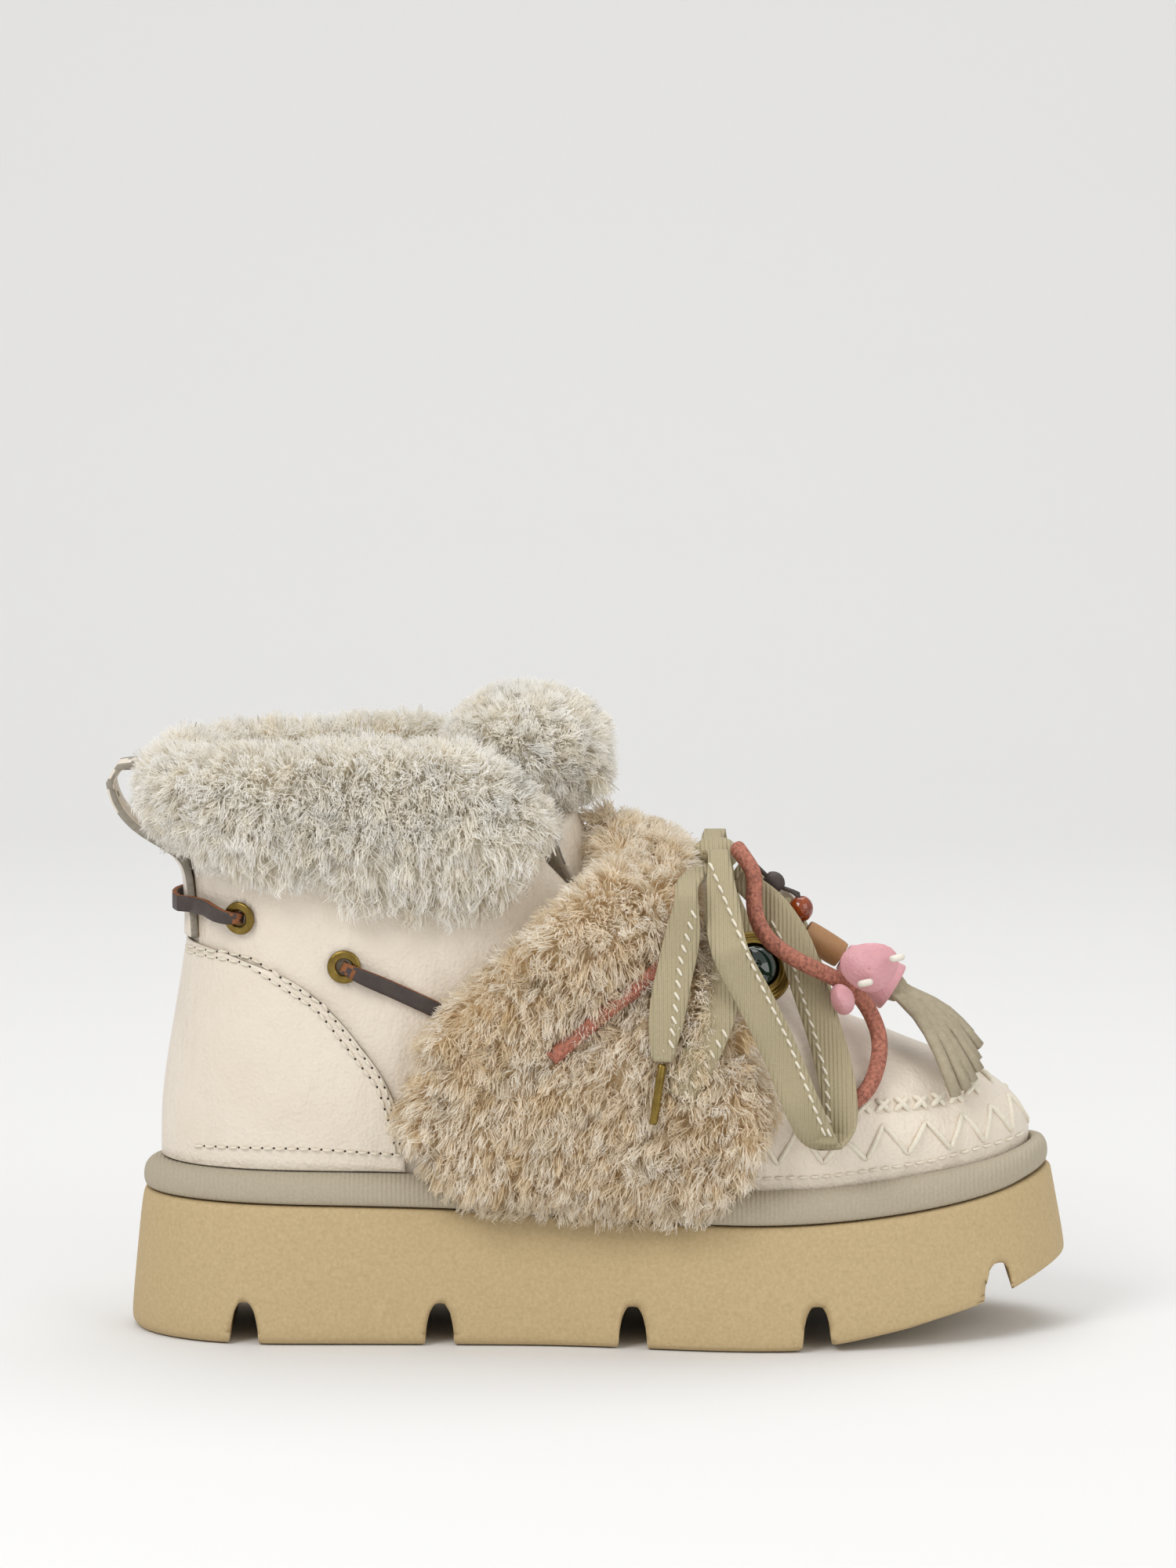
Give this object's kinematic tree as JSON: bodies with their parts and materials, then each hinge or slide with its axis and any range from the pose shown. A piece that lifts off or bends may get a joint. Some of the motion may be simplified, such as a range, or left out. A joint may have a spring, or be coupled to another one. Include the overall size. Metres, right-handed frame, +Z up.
{
  "type": "fur boot",
  "caption": "Low platform boot with a wrapped fur instep pad, fur collar, tied bow and charms, standing on a thick lugged foam sole.",
  "frame": {"origin": "on the floor under the middle of the heel, 50 mm in front of the back of the sole", "axes": "+X towards the toe, +Z up, -Y towards the outer side of this right boot"},
  "size_m": [0.287, 0.1283, 0.1871],
  "materials": {
    "leather": "soft grained, semi gloss",
    "sole": "matte speckled foam",
    "rand": "woven, matte",
    "fur": "long cream shearling",
    "pad": "curly tan shearling",
    "thong": "dark, satin",
    "brass": "old, satin",
    "lace": "woven, matte",
    "cord": "braided, matte",
    "amber": "glossy",
    "wood": "oiled",
    "pink": "smooth, satin",
    "suede": "suede",
    "shell": "satin",
    "stone": "polished",
    "lining": "soft"
  },
  "bodies": {
    "root": {"outsole": "sole", "upper": "leather", "rand": "rand", "insole": "lining", "tongue": "leather", "tongue_fur": "fur", "heel_counter": "leather", "pull_strap": "leather", "collar_fur": "fur", "instep_fur": "pad", "eyelet_rear_outer": "brass", "eyelet_rear_inner": "brass", "eyelet_front_outer": "brass", "eyelet_front_inner": "brass", "thong_front_outer": "thong", "thong_front_inner": "thong", "thong_rear": "thong", "lace_knot": "lace", "lace_end_one": "lace", "lace_end_two": "lace", "lace_end_inner": "lace", "lace_loop_outer": "lace", "lace_loop_inner": "lace", "aglet": "brass", "cord_loop": "cord", "cord_stretch": "cord", "charm_cord": "thong", "wood_bead": "wood", "amber_bead": "amber", "dark_bead": "thong", "shell_knot": "shell", "tassel_cap": "pink", "tassel": "suede", "brooch_setting": "brass", "brooch_stone": "stone"}
  },
  "joints": []
}
